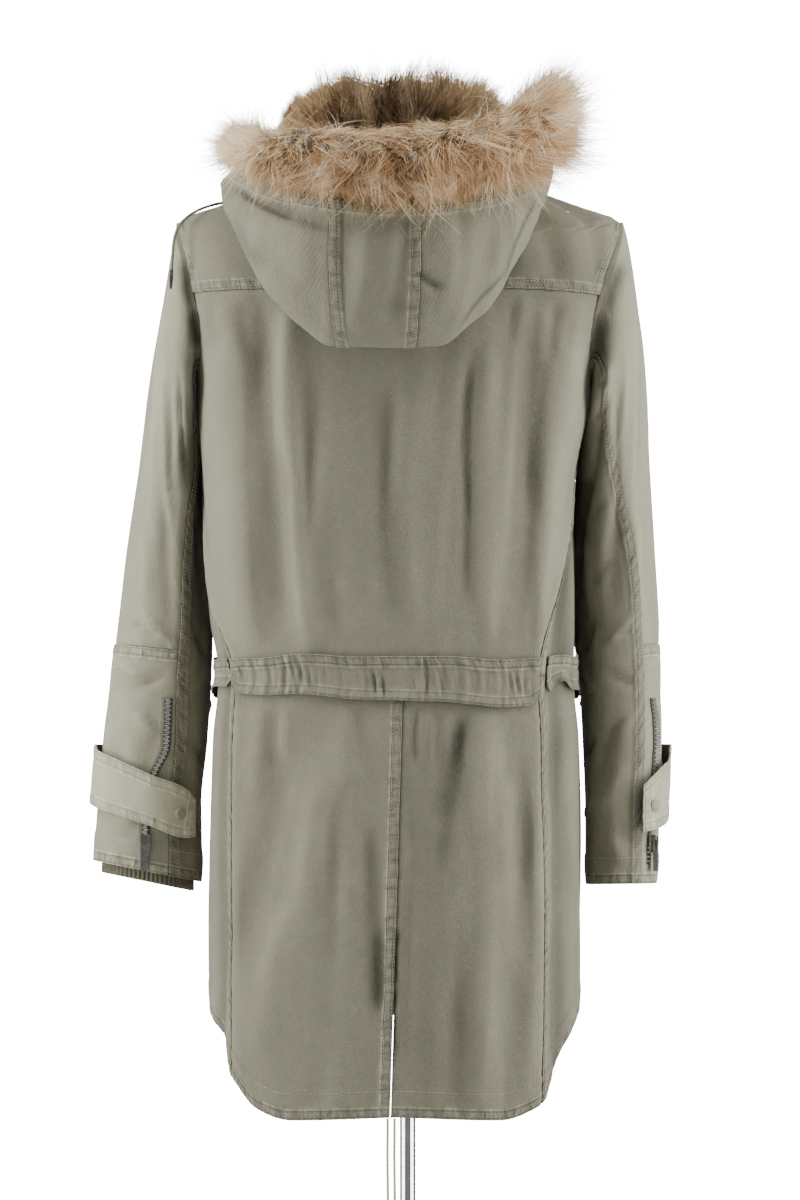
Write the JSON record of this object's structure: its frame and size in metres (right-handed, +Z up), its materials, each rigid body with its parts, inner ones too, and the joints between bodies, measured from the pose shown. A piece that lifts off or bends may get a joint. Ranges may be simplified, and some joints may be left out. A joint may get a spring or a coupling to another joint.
{
  "type": "hooded parka with fur-trimmed hood on a limbless dress form stand",
  "caption": "Washed cotton fishtail parka with a gathered waist, strapped zip cuffs and a fur-trimmed hood, hollow and filled out on a limbless dress form stand.",
  "frame": {"origin": "centre of the stand base's underside, on the floor", "axes": "+Z up along the pole, the coat's back faces -Y, the wearer's right sleeve is at +X"},
  "size_m": [0.553, 0.3779, 1.5074],
  "materials": {
    "cotton": "washed cotton twill",
    "rib_knit": "ribbed knit",
    "ruff_fur": "long-haired fur",
    "lining_fur": "dense fur pile",
    "cord": "braided cotton cord",
    "dark_metal": "dark antique plating",
    "zip": "woven tape with metal teeth",
    "chrome": "polished",
    "form": "smooth jersey cover over foam"
  },
  "bodies": {
    "root": {"back_skirt_left": "cotton", "back_skirt_right": "cotton", "front_skirt_left": "cotton", "front_skirt_right": "cotton", "front_upper_left": "cotton", "front_upper_right": "cotton", "sleeve_outer_upper_left": "cotton", "sleeve_outer_upper_right": "cotton", "sleeve_outer_lower_left": "cotton", "sleeve_outer_lower_right": "cotton", "sleeve_under_left": "cotton", "sleeve_under_right": "cotton", "cuff_strap_left": "cotton", "cuff_strap_right": "cotton", "cuff_snap_left": "cotton", "cuff_snap_right": "cotton", "back_upper": "cotton", "back_yoke": "cotton", "front_placket": "cotton", "hood_left": "cotton", "hood_centre": "cotton", "hood_right": "cotton", "waist_casing_back": "cotton", "waist_casing_left": "cotton", "waist_casing_right": "cotton", "inner_cuff_left": "rib_knit", "inner_cuff_right": "rib_knit", "fur_ruff": "ruff_fur", "hood_lining": "lining_fur", "hood_cord": "cord", "hem_cord_left": "cord", "hem_cord_right": "cord", "hem_cord_knot_left": "cord", "hem_cord_knot_right": "cord", "front_snap_1": "dark_metal", "front_snap_2": "dark_metal", "front_snap_3": "dark_metal", "front_snap_4": "dark_metal", "front_snap_5": "dark_metal", "hood_cord_tip": "dark_metal", "zip_slider_left": "dark_metal", "zip_slider_right": "dark_metal", "zip_left": "zip", "zip_right": "zip", "stand_base": "chrome", "stand_pole": "chrome", "dress_form": "form"},
    "pull_left": {"pull_tab_left": "dark_metal"},
    "pull_right": {"pull_tab_right": "dark_metal"}
  },
  "joints": [
    {"name": "pull_left_hinge", "type": "hinge", "parent": "root", "child": "pull_left", "pos_m": [-0.24949, -0.00306, 0.7685], "axis": [-0.9998, 0.0211, 0], "range_deg": [0, 115]},
    {"name": "pull_right_hinge", "type": "hinge", "parent": "root", "child": "pull_right", "pos_m": [0.23543, 0.0005, 0.7685], "axis": [-0.4986, -0.8668, 0], "range_deg": [0, 115]}
  ]
}
